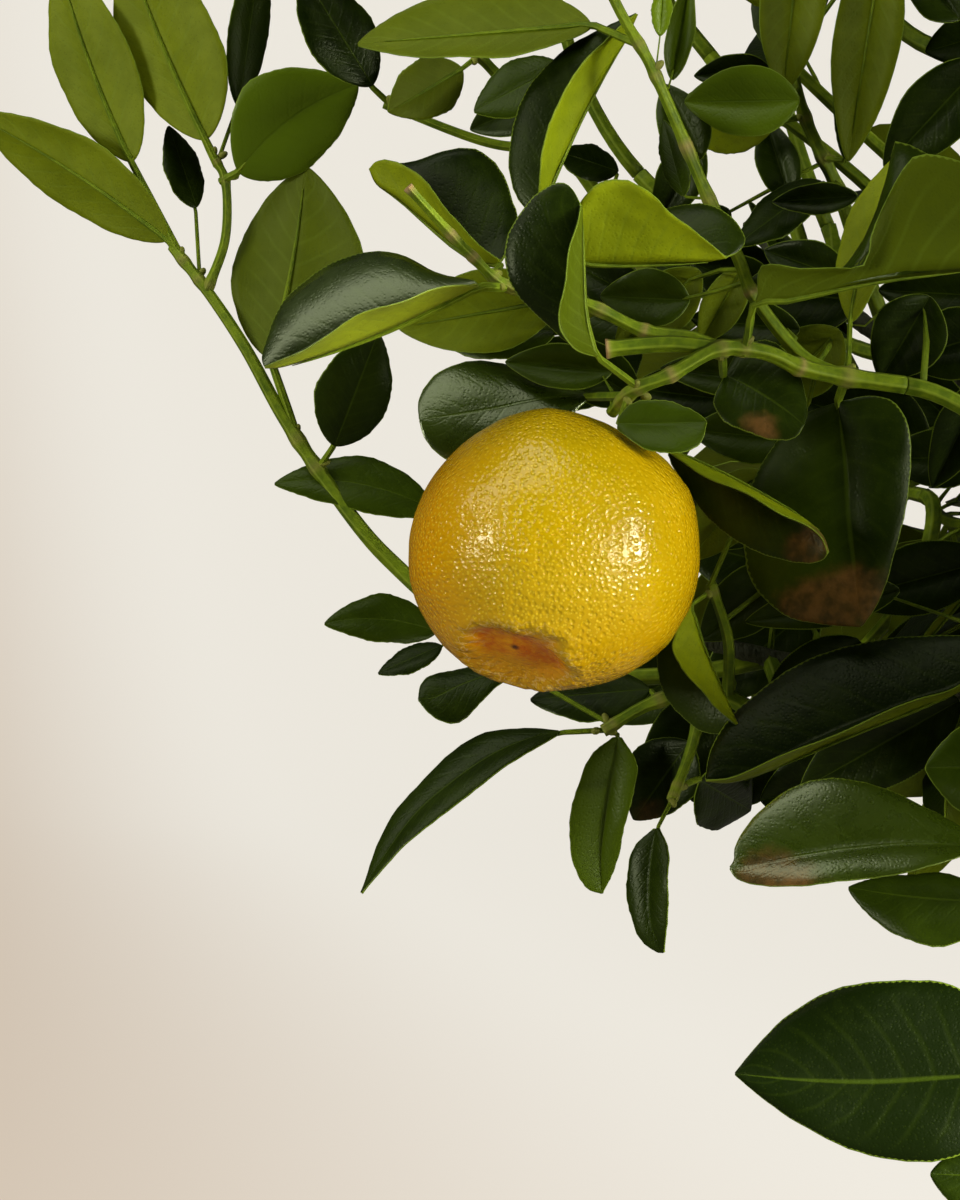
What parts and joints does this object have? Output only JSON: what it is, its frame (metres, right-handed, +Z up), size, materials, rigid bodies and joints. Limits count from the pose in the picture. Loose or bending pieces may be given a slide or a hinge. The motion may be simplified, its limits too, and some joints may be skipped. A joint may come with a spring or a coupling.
{
  "type": "yuzu bonsai",
  "caption": "Yuzu bonsai in an oval brown clay pot: a curved trunk, an airy crown of glossy pointed leaves and a golden-yellow fruit hanging from a green twig at its left side.",
  "frame": {"origin": "middle of the pot's flat base, on the surface it stands on", "axes": "+Z up along the trunk, -Y to the viewer of the picture, the fruit on the -X side"},
  "size_m": [0.4388, 0.3671, 0.5461],
  "materials": {
    "clay": "matte",
    "soil": "matte",
    "bark": "matte",
    "rind": "satin",
    "foliage": "satin"
  },
  "bodies": {
    "root": {"pot": "clay", "soil": "soil", "wood": "bark", "fruit": "rind", "back_shoot": "foliage", "fruit_shoot": "foliage", "hanging_shoot": "foliage", "low_shoot": "foliage", "side_shoot": "foliage", "spray_01": "foliage", "spray_02": "foliage", "spray_03": "foliage", "spray_04": "foliage", "spray_05": "foliage", "spray_06": "foliage", "spray_07": "foliage", "spray_08": "foliage", "spray_09": "foliage", "spray_10": "foliage", "spray_11": "foliage", "spray_12": "foliage", "spray_13": "foliage", "spray_14": "foliage", "spray_15": "foliage", "spray_16": "foliage", "spray_17": "foliage", "spray_18": "foliage", "spray_19": "foliage", "spray_20": "foliage", "spray_21": "foliage", "spray_22": "foliage", "spray_23": "foliage", "spray_24": "foliage", "spray_25": "foliage", "spray_26": "foliage", "spray_27": "foliage", "spray_28": "foliage", "spray_29": "foliage", "spray_30": "foliage", "spray_31": "foliage", "spray_32": "foliage", "spray_33": "foliage", "spray_34": "foliage", "spray_35": "foliage", "spray_36": "foliage", "spray_37": "foliage", "spray_38": "foliage", "top_shoot": "foliage", "upper_shoot": "foliage"}
  },
  "joints": []
}
